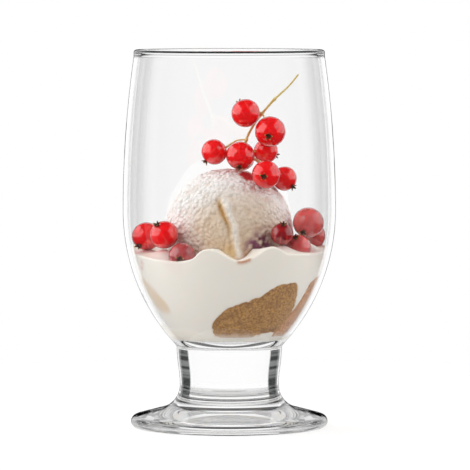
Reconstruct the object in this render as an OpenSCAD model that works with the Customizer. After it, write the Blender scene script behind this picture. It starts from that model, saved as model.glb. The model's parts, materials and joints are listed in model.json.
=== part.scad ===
// Footed parfait glass, served with sponge, cream, a scoop of ice cream and red currants.
// The glass stands on z = 0 with its axis along Z, and the front of the dessert faces -Y.
// Lengths are in millimetres and angles in degrees.

/* [Bowl] */
// Height of the rim above the table
height = 132; // [122:0.5:150]
// Outside diameter at the rim
rim_d = 66.2; // [60:0.2:72]
// Outside diameter at the widest place
belly_d = 74.4; // [70:0.2:84]
// Height of the widest place above the table
belly_z = 75.8; // [68:0.2:84]
// Thickness of the wall and of its round lip
wall = 1.6; // [1:0.1:2.2]
// Height at which the flank would meet the stem if it had no fillet
neck_z = 28.5; // [26:0.5:34]
// Fillet between the flank and the stem
neck_fillet = 2; // [1:0.1:4]
// Glass between the inside floor and the stem
floor_t = 4.3; // [3:0.1:7]
// Fillet between the inside floor and the wall
floor_fillet = 6; // [3:0.5:9]

/* [Stem and foot] */
// Diameter of the stem under the bowl
neck_d = 36.8; // [32:0.2:42]
// Diameter of the stem above the foot
waist_d = 34.6; // [30:0.2:40]
// Diameter of the foot
foot_d = 68.8; // [60:0.2:80]
// Thickness of the foot's round edge
foot_edge = 4.2; // [3:0.1:6]
// Fall of the foot's upper face
foot_slope = 15; // [8:1:20]
// Radius of the cove between the foot and the stem
cove_r = 8.5; // [5:0.5:10]
// Diameter of the hollow under the foot
hollow_d = 54; // [40:0.5:56]
// Depth of the hollow under the foot
hollow_h = 1.2; // [0.6:0.1:2]

/* [Cream and sponge] */
// Height of the cream's level above the table
cream_z = 61; // [54:0.5:68]
// Rise of the highest soft peak above the cream's level
peak_h = 4.6; // [2:0.2:7]
// Radius of a soft peak's crown
peak_r = 9; // [7:0.5:12]
// Thickness of a slice of sponge
sponge_t = 6.5; // [4:0.5:8]
// Film of cream between the left slice and the glass
cream_film = 0.8; // [0.4:0.1:2]

/* [Ice cream] */
// Room that the largest loose currant has to spare between the scoop and the wall
currant_play = 2.2; // [1.8:0.1:6]
// Height of the scoop's top above the cream's level
scoop_rise = 29.6; // [26:0.2:33]
// Width of the fold down the scoop's front
fold_w = 3; // [1:0.1:5]
// Lean of the fold from the upright
fold_lean = 23; // [0:1:40]

/* [Currants] */
// Diameter of a middling currant
currant_d = 10; // [7:0.1:10.5]
// Gap between neighbouring currants of the sprig
currant_gap = 0.4; // [0.2:0.1:1]
// Diameter of the dried flower end on a currant
calyx_d = 2.2; // [1:0.1:3]
// Length of the dried flower end on a currant
calyx_l = 0.9; // [0.5:0.1:1.4]
// Thickness of the stalk
stalk_d = 1; // [0.6:0.1:1.4]
// Thickness of a currant's own short stalk
pedicel_d = 0.7; // [0.4:0.1:1]
// Length of the stalk's bare end
stalk_l = 19; // [10:0.5:22]
// Lean of the stalk's bare end from the upright
stalk_lean = 43; // [20:1:50]

/* [Hidden] */
$fn = 96;
// Flat steps in each curved stretch of a turned outline
steps = 14;
// Sides of the thin stalks and their knots
stalk_sides = 10;
// Gap between the cream and the glass, and round each slice of sponge
layer_gap = 0.1;
// Gap between pieces that lift away from each other
lift_gap = 0.3;
// Gap between a currant and the end of its short stalk
graft_gap = 0.1;
// Overrun of cuts
overrun = 1;

// Radii of the glass
rim_r = rim_d / 2;
belly_r = belly_d / 2;
neck_r = neck_d / 2;
waist_r = waist_d / 2;
foot_r = foot_d / 2;
hollow_r = hollow_d / 2;
edge_r = foot_edge / 2;
lip_r = wall / 2;

// Upper wall, an arc from the belly to the lip's centre
lip_z = height - lip_r;
upper_r = ((lip_z - belly_z) ^ 2 + (belly_r - rim_r) ^ 2) / (2 * (belly_r - rim_r)) + lip_r;
upper_c = [belly_r - upper_r, belly_z];
rim_angle = asin((lip_z - belly_z) / (upper_r - lip_r));

// Lower wall, an arc from the belly towards the neck, and the fillet that ends it at the weld
lower_r = ((belly_z - neck_z) ^ 2 + (belly_r - neck_r) ^ 2) / (2 * (belly_r - neck_r));
lower_c = [belly_r - lower_r, belly_z];
fillet_x = neck_r + neck_fillet;
weld_z = belly_z - sqrt((lower_r + neck_fillet) ^ 2 - (fillet_x - lower_c.x) ^ 2);
flank_angle = atan2(weld_z - belly_z, fillet_x - lower_c.x);

// Inside floor and its fillet
floor_z = weld_z + floor_t;
floor_c_z = floor_z + floor_fillet;
floor_c_x = lower_c.x + sqrt((lower_r - wall - floor_fillet) ^ 2 - (belly_z - floor_c_z) ^ 2);
floor_c = [floor_c_x, floor_c_z];
floor_angle = atan2(floor_c_z - belly_z, floor_c_x - lower_c.x);

// Foot, whose sloping face runs from the round edge's tangent to the cove's
edge_c = [foot_r - edge_r, edge_r];
slope_out = edge_c + edge_r * [sin(foot_slope), cos(foot_slope)];
cove_x = waist_r + cove_r;
slope_run = slope_out.x - (cove_x - cove_r * sin(foot_slope));
foot_h = slope_out.y + slope_run * tan(foot_slope) + cove_r * cos(foot_slope);
hollow_ball_r = (hollow_r ^ 2 + hollow_h ^ 2) / (2 * hollow_h);
hollow_angle = asin(hollow_r / hollow_ball_r);

// Depth of the layers, and where the scoop's fold starts and ends, in degrees above the scoop's middle
layer_h = cream_z - floor_z;
fold_top = 37;
fold_foot = -29;

// Soft peaks of the cream: azimuth from the front, and rise as a share of the highest
peak_shares = [
    [-14, 0.75], [25.5, 1], [57, 0.42], [97, 0.62], [140, 0.5],
    [183, 0.8], [222, 0.45], [262, 0.7], [299, 0.55]
];

// Slices of sponge: azimuth of the cut, and where the slice begins as a share of the belly's radius
slice_azimuths = [0, 88, -55];
slice_start_shares = [0.42, 0.36, 0.4];
slice_films = [0, 0, cream_film];
// Outlines of the slices: across in shares of the belly's radius, up in shares of the layers' depth
slice_shares = [
    [
        [-0.15, 0.1], [-0.02, 0.4], [0.3, 0.55], [0.5, 0.7], [0.62, 0.68],
        [0.58, 0.4], [0.42, 0.12], [0.26, 0.04], [-0.1, 0.04]
    ],
    [[-0.2, 0.08], [0.22, 0.08], [0.36, 0.44], [0.36, 0.68], [-0.3, 0.72], [-0.38, 0.42]],
    [[-0.16, 0.4], [0.14, 0.3], [0.2, 0.66], [0.06, 0.8], [-0.16, 0.74]]
];

// Loose currants: size share, azimuth, place between scoop and wall, and height over the cream in sizes
left_shares = [[0.98, -75, 0.85, 0.64], [0.97, -52, 0.1, 0.76], [0.93, -34.5, 0.3, 0.04]];
right_shares = [
    [1.06, 74, 0, 1.04], [0.92, 97, 0.9, 0.62], [0.78, 41, 0.1, 1], [0.88, 58, 0.1, 0.34]
];
// Directions in which their dried flowers point
left_calyx_dirs = [[-0.45, -0.65, -0.61], [-0.47, -0.48, 0.74], [-0.15, -0.95, -0.26]];
right_calyx_dirs = [[-0.34, -0.74, -0.57], [0.3, 0.9, 0.3], [0.1, -0.5, 0.86], [-0.2, -0.6, 0.77]];

// Scoop, which leaves room for the loose currants round it
loose_d = currant_d * max([for (row = concat(left_shares, right_shares)) row[0]]);
scoop_r = belly_r - wall - loose_d - currant_play;
scoop_z = cream_z + scoop_rise - scoop_r;

// Currants of the sprig: size share, then right, back and lift from the scoop's top in shares of the pitch
pitch = currant_d + currant_gap;
sprig_shares = [
    [1, 0.36, -0.1, 1.38], [1.07, 1.01, -0.29, 0.98], [0.9, -0.49, 0, 0.13], [1, 0.37, -0.48, 0],
    [0.86, 1.12, 0.32, 0.4], [0.98, 1.32, -1.38, 0], [0.86, 2.09, -0.31, 0], [0.9, 0.44, 0.78, 0]
];
// Directions in which their dried flowers point
sprig_calyx_dirs = [
    [-0.4, 0.6, 0.69], [-0.11, -0.96, -0.25], [-0.66, 0, -0.75], [-0.07, -0.68, -0.73],
    [0.8, 0.5, -0.33], [-0.16, -0.98, -0.09], [0.64, -0.48, -0.6], [-0.1, 0.9, 0.42]
];

// Stalk: right, back and height over the scoop in shares of the pitch, from its lower end to its bare end
stalk_shares = [
    [1.48, -0.48, 0.66], [0.98, -0.33, 0.64], [0.53, 0.13, 0.73],
    [0.48, 0.12, 1], [0.71, 0.09, 1.97]
];
// Point of the stalk from which each currant of the sprig hangs
grafts = [4, 4, 3, 3, 2, 0, 0, 2];
// Place of the bare end's one knot, size of a knot, taper of the tip, and the flower's narrow root
bare_share = 0.35;
knot_share = 1.3;
tip_share = 0.6;
root_share = 0.6;

glass_tint = [0.87, 0.9, 0.9, 0.4];
cream_tint = [0.97, 0.95, 0.91];
sponge_tint = [0.76, 0.57, 0.35];
ice_tint = [0.93, 0.88, 0.82];
stalk_tint = [0.72, 0.66, 0.36];
currant_tint = [0.82, 0.06, 0.08];

// Points of an arc from angle a up to angle b, without its last point, which the next stretch begins with
function arc(c, r, a, b) =
    [for (i = [0:steps - 1]) let (t = a + (b - a) * i / steps) c + r * [cos(t), sin(t)]];

// Radius of the bowl's surface that lies inset behind its outer face, at height z
function bowl_r(z, inset) =
    let (c = z < belly_z ? lower_c : upper_c, r = z < belly_z ? lower_r : upper_r)
    c.x + sqrt((r - inset) ^ 2 - (z - belly_z) ^ 2);

// Height of step i of the wall between the floor's fillet and the given top
function wall_z(i, fillet, top) =
    let (low = floor_c.y + fillet * sin(floor_angle))
    low + (top - low) * i / steps;

// Outline of the hollow, inset behind the bowl's outer face, from the floor up to the given top
function hollow_wall(inset, top) =
    let (fillet = floor_fillet + wall - inset)
    concat(
        arc(floor_c, fillet, -90, floor_angle),
        [for (i = [0:steps]) let (z = wall_z(i, fillet, top)) [bowl_r(z, inset), z]]
    );

// Direction seen from above: azimuth 0 faces the front and 90 faces right
function facing(azimuth) = [sin(azimuth), -cos(azimuth), 0];

// Place over the scoop: right and back along its surface in pitches, and the height over it
function over_scoop(right, back, over) =
    let (tilt = norm([right, back]) * pitch / (scoop_r + currant_d / 2) * 180 / PI)
    let (turn = atan2(back, right))
    [0, 0, scoop_z] + (scoop_r + over) * [sin(tilt) * cos(turn), sin(tilt) * sin(turn), cos(tilt)];

function sprig_r(i) = sprig_shares[i][0] * currant_d / 2;
function sprig_at(i) =
    let (row = sprig_shares[i])
    over_scoop(row[1], row[2], sprig_r(i) + lift_gap + row[3] * pitch);

// A loose currant lies between the scoop's way up and the wall, at its height over the cream
function loose_r(row) = row[0] * currant_d / 2;
function loose_at(row) =
    let (r = loose_r(row), z = cream_z + row[3] * 2 * r)
    let (near = scoop_r + r + lift_gap, far = bowl_r(z, wall) - r - lift_gap)
    (near + (far - near) * row[2]) * facing(row[1]) + [0, 0, z];

// Stalk points, with the bare end leaning away in two straight runs
function stalk_at(i) = over_scoop(stalk_shares[i].x, stalk_shares[i].y, stalk_shares[i].z * pitch);
stalk_way = [sin(stalk_lean), 0, cos(stalk_lean)];
stalk_route = concat(
    [for (i = [0:len(stalk_shares) - 1]) stalk_at(i)],
    [stalk_at(len(stalk_shares) - 1) + bare_share * stalk_l * stalk_way],
    [stalk_at(len(stalk_shares) - 1) + stalk_l * stalk_way]
);

module bowl() {
    outside = concat(
        [[0, weld_z]],
        arc([fillet_x, weld_z], neck_fillet, 180, 180 + flank_angle),
        arc(lower_c, lower_r, flank_angle, 0),
        arc(upper_c, upper_r, 0, rim_angle),
        arc([rim_r - lip_r, lip_z], lip_r, rim_angle, rim_angle + 180)
    );
    inside = concat(
        arc(upper_c, upper_r - wall, rim_angle, 0),
        arc(lower_c, lower_r - wall, 0, floor_angle),
        arc(floor_c, floor_fillet, floor_angle, -90),
        [[floor_c.x, floor_z], [0, floor_z]]
    );
    color(glass_tint) rotate_extrude() polygon(concat(outside, inside));
}

// The stem's side is upright at both welds and eases from the neck to the waist between them
module stem() {
    side = [
        for (i = [0:steps])
        let (t = i / steps, ease = t * t * (3 - 2 * t))
        [waist_r + (neck_r - waist_r) * ease, foot_h + (weld_z - foot_h) * t]
    ];
    color(glass_tint) rotate_extrude() polygon(concat([[0, foot_h]], side, [[0, weld_z]]));
}

module foot() {
    outline = concat(
        [[0, foot_h]],
        arc([cove_x, foot_h], cove_r, 180, 270 - foot_slope),
        [[cove_x, foot_h] - cove_r * [sin(foot_slope), cos(foot_slope)]],
        arc(edge_c, edge_r, 90 - foot_slope, -90),
        [[edge_c.x, 0]],
        arc([0, hollow_h - hollow_ball_r], hollow_ball_r, 90 - hollow_angle, 90),
        [[0, hollow_h]]
    );
    color(glass_tint) rotate_extrude() polygon(outline);
}

// Space that the cream may fill, up to the given top
module bowl_space(top) {
    inset = wall + layer_gap;
    rotate_extrude() polygon(concat([[0, floor_z + layer_gap]], hollow_wall(inset, top), [[0, top]]));
}

module soft_peak(azimuth, rise) {
    out = (scoop_r + bowl_r(cream_z, wall)) / 2;
    translate(out * facing(azimuth) + [0, 0, cream_z + rise - peak_r]) sphere(peak_r);
}

// A slice of sponge that follows the wall, with its cut edges as seen along its azimuth, shrunk by gap
module slice(i, gap) {
    inset = wall + slice_films[i] + gap;
    back = inset + sponge_t - 2 * gap;
    low = floor_z + inset - wall;
    inner = [for (k = [steps:-1:0]) let (z = low + layer_h * k / steps) [bowl_r(z, back), z]];
    start = slice_start_shares[i] * belly_r + gap;
    intersection() {
        rotate_extrude() polygon(concat(hollow_wall(inset, low + layer_h), inner));
        rotate([0, 0, slice_azimuths[i]]) translate([0, -start, floor_z]) rotate([90, 0, 0])
            linear_extrude(belly_r)
                offset(delta = -gap)
                    polygon([for (p = slice_shares[i]) [p.x * belly_r, p.y * layer_h]]);
    }
}

module cream() {
    color(cream_tint) difference() {
        intersection() {
            bowl_space(cream_z + peak_h + overrun);
            union() {
                cylinder(h = cream_z, r = belly_r);
                for (p = peak_shares) soft_peak(p[0], p[1] * peak_h);
            }
        }
        translate([0, 0, scoop_z]) sphere(scoop_r + lift_gap);
        for (i = [0:len(slice_shares) - 1]) slice(i, 0);
        for (i = [0:len(left_shares) - 1]) loose(left_shares[i], left_calyx_dirs[i], lift_gap);
        for (i = [0:len(right_shares) - 1]) loose(right_shares[i], right_calyx_dirs[i], lift_gap);
    }
}

module sponge(i) {
    color(sponge_tint) slice(i, layer_gap);
}

module ice_cream_scoop() {
    color(ice_tint) translate([0, 0, scoop_z]) difference() {
        sphere(scoop_r);
        rotate([0, -fold_lean, 0]) rotate([90, 0, -90]) rotate([0, 0, fold_foot])
            rotate_extrude(angle = fold_top - fold_foot)
                translate([scoop_r, 0]) circle(d = fold_w);
    }
}

// Turns what stands along Z into the given direction
module along(way) {
    rotate([0, acos(way.z / norm(way)), atan2(way.y, way.x)]) children();
}

// A round currant with the dried flower at its end, all grown by grow
module currant(r, calyx_dir, grow) {
    sphere(r + grow);
    root_d = root_share * calyx_d;
    along(calyx_dir)
        cylinder(h = r + calyx_l + grow, d1 = root_d + 2 * grow, d2 = calyx_d + 2 * grow);
}

module loose(row, calyx_dir, grow) {
    translate(loose_at(row)) currant(loose_r(row), calyx_dir, grow);
}

module sprig_currant(i) {
    color(currant_tint) translate(sprig_at(i)) currant(sprig_r(i), sprig_calyx_dirs[i], 0);
}

module left_currant(i) {
    color(currant_tint) loose(left_shares[i], left_calyx_dirs[i], 0);
}

module right_currant(i) {
    color(currant_tint) loose(right_shares[i], right_calyx_dirs[i], 0);
}

module rod(from, to, r1, r2) {
    translate(from) along(to - from) cylinder(h = norm(to - from), r1 = r1, r2 = r2);
}

// Short stalk from its knot on the stalk to just short of a currant's skin
module pedicel(i) {
    knot = stalk_route[grafts[i]];
    reach = sprig_at(i) - knot;
    skin = norm(reach) - sprig_r(i) - graft_gap;
    rod(knot, knot + reach * skin / norm(reach), pedicel_d / 2, pedicel_d / 2);
}

module currant_stalk() {
    $fn = stalk_sides;
    r = stalk_d / 2;
    last = len(stalk_route) - 1;
    color(stalk_tint) union() {
        for (i = [0:last - 1]) {
            rod(stalk_route[i], stalk_route[i + 1], r, i < last - 1 ? r : tip_share * r);
            translate(stalk_route[i]) sphere(knot_share * r);
        }
        for (i = [0:len(sprig_shares) - 1]) pedicel(i);
    }
}

bowl();
stem();
foot();
cream();
sponge(0);  // sponge_front
sponge(1);  // sponge_right
sponge(2);  // sponge_left
ice_cream_scoop();
currant_stalk();
for (i = [0:len(sprig_shares) - 1])
    sprig_currant(i);
for (i = [0:len(left_shares) - 1])
    left_currant(i);
for (i = [0:len(right_shares) - 1])
    right_currant(i);
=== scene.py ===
# %% [markdown]
# # A parfait glass and its dessert
# The real object is a footed glass of clear soda-lime glass, filled with cream, slices of sponge,
# a scoop of ice cream and red currants. The frame holds its pieces at their real size and place.
# This lesson puts a finished surface over each of them, and every new surface is worked out with numpy.

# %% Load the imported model
import itertools
import json
import math

import bpy
import numpy as np
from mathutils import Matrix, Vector

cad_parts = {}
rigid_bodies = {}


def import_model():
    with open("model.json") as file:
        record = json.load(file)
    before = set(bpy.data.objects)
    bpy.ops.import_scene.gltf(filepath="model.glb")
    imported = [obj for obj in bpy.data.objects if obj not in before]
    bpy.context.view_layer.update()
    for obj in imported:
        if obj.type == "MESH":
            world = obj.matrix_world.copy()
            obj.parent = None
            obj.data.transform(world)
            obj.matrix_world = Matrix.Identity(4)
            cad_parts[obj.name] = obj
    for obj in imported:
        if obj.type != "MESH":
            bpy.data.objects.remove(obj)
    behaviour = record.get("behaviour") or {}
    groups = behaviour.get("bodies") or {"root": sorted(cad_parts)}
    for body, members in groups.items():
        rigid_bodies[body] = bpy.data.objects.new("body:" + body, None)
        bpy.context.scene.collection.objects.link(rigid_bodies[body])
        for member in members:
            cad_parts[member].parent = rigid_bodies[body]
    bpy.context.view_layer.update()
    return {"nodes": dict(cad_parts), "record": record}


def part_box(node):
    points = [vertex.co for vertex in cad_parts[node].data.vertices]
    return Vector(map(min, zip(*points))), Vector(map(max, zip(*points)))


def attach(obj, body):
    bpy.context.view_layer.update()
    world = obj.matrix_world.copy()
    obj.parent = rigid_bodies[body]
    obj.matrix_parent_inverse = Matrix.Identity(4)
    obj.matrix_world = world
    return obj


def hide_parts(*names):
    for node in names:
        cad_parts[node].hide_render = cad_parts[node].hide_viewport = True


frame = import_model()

scene = bpy.context.scene

# %% [markdown]
# ## Millimetres
# A maker measures glass in millimetres and Blender counts in metres. All shapes below are arrays in
# millimetres, and one function turns them into metres when it puts them into a mesh.

# %% Sizes that the frame gives
MM = 0.001


def corners(node):
    """Lowest and highest corner of a CAD node, in millimetres."""
    low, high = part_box(node)
    return np.array(low) / MM, np.array(high) / MM


height = corners("bowl")[1][2]
belly_r = corners("bowl")[1][0]
foot_r = corners("foot")[1][0]
foot_h, weld_z = corners("stem")[0][2], corners("stem")[1][2]
neck_r = corners("stem")[1][0]
print(f"glass {height:.1f} high, belly {2 * belly_r:.1f}, foot {2 * foot_r:.1f} mm")

# %% [markdown]
# ## From arrays to a mesh
# Every piece here is a stack of closed rings, like the courses of a round tower. Ring i and ring i + 1
# are joined by quads, and a fan closes each end to a single point, so no seam or pole stays open.

# %% Rings into closed shells


def shell(rings, first, last, slots=(0, 0, 0)):
    """Points and faces of rings[i, j], joined ring to ring, with a fan to the point first before the first
    ring and to the point last after the last one. slots are the material numbers of rings and fans."""
    count, around = rings.shape[:2]
    here = np.arange(around)
    ahead = np.roll(here, -1)
    base = np.arange(count - 1)[:, None] * around
    low, low_ahead = (base + here).ravel(), (base + ahead).ravel()
    quads = np.stack([low, low_ahead, low_ahead + around, low + around], 1)
    end = count * around
    first_fan = np.stack([ahead, here, np.full(around, end)], 1)
    last_fan = np.stack([here, ahead, np.full(around, around + 1)], 1) + end - around
    points = np.vstack([rings.reshape(-1, 3), [first], [last]])
    return points, [(quads, slots[0]), (first_fan, slots[1]), (last_fan, slots[2])]


sample = shell(np.zeros((2, 4, 3)), (0, 0, 0), (0, 0, 1))
print("two rings of four points get", sum(len(faces) for faces, slot in sample[1]), "faces")

# %% Shells into a piece


def make_piece(name, shells, materials, attributes=None):
    """One object at the origin from closed shells, with one value per point for each named attribute."""
    starts = np.cumsum([0] + [len(points) for points, faces in shells])
    groups = [(f + s, k) for (points, faces), s in zip(shells, starts) for f, k in faces]
    points = np.vstack([points for points, faces in shells])
    sides = np.concatenate([np.full(len(f), f.shape[1]) for f, k in groups])
    mesh = bpy.data.meshes.new(name)
    mesh.vertices.add(len(points))
    mesh.vertices.foreach_set("co", (points * MM).astype(np.float32).ravel())
    mesh.loops.add(int(sides.sum()))
    mesh.loops.foreach_set("vertex_index", np.concatenate([f.ravel() for f, k in groups]))
    mesh.polygons.add(len(sides))
    mesh.polygons.foreach_set("loop_start", np.concatenate([[0], np.cumsum(sides)[:-1]]))
    mesh.polygons.foreach_set("material_index", np.concatenate([np.full(len(f), k) for f, k in groups]))
    mesh.polygons.foreach_set("use_smooth", np.ones(len(sides), bool))
    mesh.update(calc_edges=True)
    for material in materials:
        mesh.materials.append(material)
    for key, values in (attributes or {}).items():
        mesh.attributes.new(key, "FLOAT", "POINT").data.foreach_set("value", values.astype(np.float32))
    made = bpy.data.objects.new(name, mesh)
    scene.collection.objects.link(made)
    print(f"{name}: {len(points)} points, {int((sides - 2).sum())} triangles")
    return made


def stand_for(piece, node, body):
    """Lets the piece take a CAD node's place and its body."""
    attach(piece, body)
    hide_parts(node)


# %% [markdown]
# ## The camera
# A long lens from a metre and a half keeps the rim nearly flat. The camera stands a little above the
# glass and looks down a few degrees, so the rim and the foot show as thin ellipses.

# %% Camera
FRAME_PX = 470
FOCAL_PX = 4297
CAMERA_MM = np.array([2.0, -1500.0, 157.0])
PITCH = math.radians(3.426)

lens = bpy.data.cameras.new("camera")
lens.sensor_width = 36
lens.lens = lens.sensor_width * FOCAL_PX / FRAME_PX
camera = bpy.data.objects.new("camera", lens)
camera.location = CAMERA_MM * MM
camera.rotation_euler = (math.pi / 2 - PITCH, 0, 0)
scene.collection.objects.link(camera)
scene.camera = camera
print(f"lens {lens.lens:.0f} mm, {math.degrees(PITCH):.1f} degrees down")

# %% [markdown]
# ## Colours and nodes
# Colours are written as sRGB hex codes, as a paint chart gives them, and one function makes them
# linear for the shader. One small function adds a node, sets it and links it.

# %% Colour and node helpers


def colour(code):
    """sRGB hex to linear: c / 12.92 up to 0.04045, and ((c + 0.055) / 1.055) ** 2.4 above it."""
    srgb = np.array([int(code[i:i + 2], 16) for i in (1, 3, 5)]) / 255
    linear = np.where(srgb <= 0.04045, srgb / 12.92, ((srgb + 0.055) / 1.055) ** 2.4)
    return (*linear.tolist(), 1.0)


def add(tree, kind, inputs=None, stops=(), **settings):
    """Adds a shader node of this kind. An input that is a socket, or a node, by its first output, is linked.
    Any other value is set, a hex code as its colour. stops are a ramp's places, 0 to 1, and their greys."""
    made = tree.nodes.new("ShaderNode" + kind)
    for key, value in settings.items():
        setattr(made, key, value)
    for key, value in (inputs or {}).items():
        value = value.outputs[0] if isinstance(value, bpy.types.Node) else value
        if isinstance(value, bpy.types.NodeSocket):
            tree.links.new(value, made.inputs[key])
        else:
            made.inputs[key].default_value = colour(value) if isinstance(value, str) else value
    for i, (place, level) in enumerate(stops):
        elements = made.color_ramp.elements
        step = elements[i] if i < 2 else elements.new(1)
        step.position = place
        step.color = (level, level, level, 1)
    return made


def new_material(name):
    """An empty material and its node tree."""
    made = bpy.data.materials.new(name)
    made.use_nodes = True
    made.node_tree.nodes.clear()
    return made, made.node_tree


print("middle grey is", colour("#808080"))

# %% [markdown]
# ## The studio
# Clear glass shows only what is round it. The studio is white all round to a ray that goes straight
# through, so the glass is clear from every side. A ray that was mirrored on its way sees a white ground
# behind, dark cards at both sides and a dim room in front, which keeps a grey veil off the food.

# %% World
# Brightness of the studio to rays mirrored inside the glass, by the angle from behind, left or right
ROUND = [
    (0, 1.0), (8, 1.0), (16, 0.97), (24, 0.93), (31, 0.88), (33, 0.98), (38.5, 1.0), (40, 0.05), (70, 0.05),
    (72, 0.6), (86, 0.45), (92, 0.06), (180, 0.05),
]
# What a gloss shows, by the angle from straight behind in any direction: the ground alone, with a dark spot
# in its middle that draws the thin line along the outer edge of the glass
MIRRORED = [(0, 0.0), (12, 0.0), (16, 1.0), (42, 1.0), (46, 0.04), (180, 0.04)]
# A dark card that hangs between the white ground and the ceiling, by the angle above the table
OVER = [(-90, 1.0), (12, 1.0), (15, 0.12), (42, 0.12), (48, 1.0), (90, 1.0)]
# Light that falls on the food, by the same angle as ROUND: much from behind, less from the front
BEHIND = [(0, 0.85), (60, 0.85), (110, 0.38), (180, 0.28)]
# How much brighter than the camera's plain white the studio is
LIFT = 1.06


def mirrored_ray(tree):
    """1 for a ray that was mirrored last. A ray bent by glass is glossy too, but it isn't a reflection."""
    path = add(tree, "LightPath").outputs
    return add(tree, "Math", {0: path["Is Glossy Ray"], 1: path["Is Reflection Ray"]}, operation="MULTIPLY")


world = bpy.data.worlds.new("white_studio")
world.use_nodes = True
scene.world = world
sky = world.node_tree
sky.nodes.clear()
way = add(sky, "SeparateXYZ", {"Vector": add(sky, "TexCoord").outputs["Generated"]}).outputs
sideways = add(sky, "Math", {0: way["X"]}, operation="ABSOLUTE")
angle = add(sky, "Math", {0: sideways, 1: way["Y"]}, operation="ARCTAN2")
turn = add(sky, "Math", {0: angle, 1: math.pi}, operation="DIVIDE")
angle = add(sky, "Math", {0: way["Y"]}, operation="ARCCOSINE")
tilt = add(sky, "Math", {0: angle, 1: math.pi}, operation="DIVIDE")
angle = add(sky, "Math", {0: way["Z"]}, operation="ARCSINE")
rise = add(sky, "Math", {0: angle, 1: 1 / math.pi, 2: 0.5}, operation="MULTIPLY_ADD")
cards, gloss, soft, flag = (
    add(sky, "ValToRGB", {"Fac": part}, [(a / 180 + zero, level) for a, level in steps])
    for part, steps, zero in ((turn, ROUND, 0), (tilt, MIRRORED, 0), (turn, BEHIND, 0), (rise, OVER, 0.5))
)
path = add(sky, "LightPath").outputs
turned_away = add(sky, "Math", {0: path["Glossy Depth"], 1: 0.5}, operation="GREATER_THAN")
wall = add(sky, "MixRGB", {"Fac": turned_away, "Color1": "#ffffff", "Color2": cards})
seen = add(sky, "MixRGB", {"Fac": 1.0, "Color1": wall, "Color2": flag}, blend_type="MULTIPLY")
for share, other in (
    (mirrored_ray(sky), gloss),
    (path["Is Diffuse Ray"], soft),
    (path["Is Camera Ray"], "#ffffff"),
):
    seen = add(sky, "MixRGB", {"Fac": share, "Color1": seen, "Color2": other})
strength = add(sky, "Math", {0: path["Is Camera Ray"], 1: 1 - LIFT, 2: LIFT}, operation="MULTIPLY_ADD")
ground = add(sky, "Background", {"Color": seen, "Strength": strength})
add(sky, "OutputWorld", {"Surface": ground})
print("studio with", len(ROUND), "steps round and", len(OVER), "steps up")

# %% [markdown]
# ## The lamps
# A dessert is lit softly: by a large softbox at each side, a lamp overhead and two more in front. Each
# lamp lights only what it is linked to, so the glass doesn't mirror it and stays clear.

# %% Softboxes


def softbox(name, place, aim, size, watts, lights, mirrored):
    """A rectangular area lamp at place, turned to aim, both in millimetres. It lights only the collection
    lights, so glass doesn't mirror it. mirrored says whether wet skins do."""
    data = bpy.data.lights.new(name, "AREA")
    data.shape = "RECTANGLE"
    data.size, data.size_y = size[0] * MM, size[1] * MM
    data.energy = watts
    lamp = bpy.data.objects.new(name, data)
    lamp.location = np.array(place) * MM
    lamp.rotation_euler = Vector(np.array(aim) - place).to_track_quat("-Z", "Y").to_euler()
    lamp.visible_camera = False
    lamp.visible_transmission = False
    lamp.visible_glossy = mirrored
    lamp.light_linking.receiver_collection = lights
    scene.collection.objects.link(lamp)
    print(f"{name}: {watts} W")


MIDDLE = (0, 0, 75)
food, fruit = bpy.data.collections.new("food_and_table"), bpy.data.collections.new("fruit")
softbox("left_softbox", (-632, -55, 371), MIDDLE, (1260, 800), 4.6, food, True)
softbox("right_softbox", (632, -20, 371), MIDDLE, (1200, 800), 3.4, food, True)
softbox("overhead", (0, 100, 1000), MIDDLE, (600, 600), 1.0, food, False)
softbox("front_fill", (-420, -620, 640), MIDDLE, (180, 180), 1.05, food, False)
softbox("fruit_light", (-250, -900, 450), MIDDLE, (400, 400), 4.0, fruit, False)

# %% [markdown]
# ## The table
# A white table that fades into the white ground a short way off, so no edge shows. It takes real light,
# which keeps the soft shadow, and a glow lifts it to white. The glow is a painted reflection of the white
# ground, weaker to a steep sight line as a gloss gives it back best at a flat angle, so glass that looks
# steeply down on it shows it darker. Near the glass the glow that lights the food is left out, a painted
# shadow of the glass on the table.

# %% Table finish
# Distances from the glass, in metres, over which the table fades away and its glow on the food sets in;
# nearer, that glow is left out as a painted shadow of the glass
TABLE_FADE = (0.09, 0.28)
GLOW_FROM = (0.03, 0.09)
GLOW = 0.54
# Painted reflection of the white ground: glow to a steep sight line, and the values of Facing over which it
# rises to the full one
STEEP_GLOW = 0.24
FLAT_SIGHT = (0.62, 0.86)

white_top, tree = new_material("white_laminate")
spot = add(tree, "TexCoord").outputs["Object"]
path = add(tree, "LightPath").outputs
far = add(tree, "VectorMath", {0: spot}, operation="LENGTH").outputs["Value"]
fade = add(tree, "MapRange", {
    "Value": far,
    "From Min": TABLE_FADE[0],
    "From Max": TABLE_FADE[1],
}, interpolation_type="SMOOTHSTEP")
gone = add(tree, "Math", {0: fade, 1: mirrored_ray(tree)}, operation="MAXIMUM")
flat = add(tree, "MapRange", {
    "Value": add(tree, "LayerWeight", {"Blend": 0.5}).outputs["Facing"],
    "From Min": FLAT_SIGHT[0],
    "From Max": FLAT_SIGHT[1],
    "To Min": STEEP_GLOW,
    "To Max": GLOW,
}, interpolation_type="SMOOTHSTEP")
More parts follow.
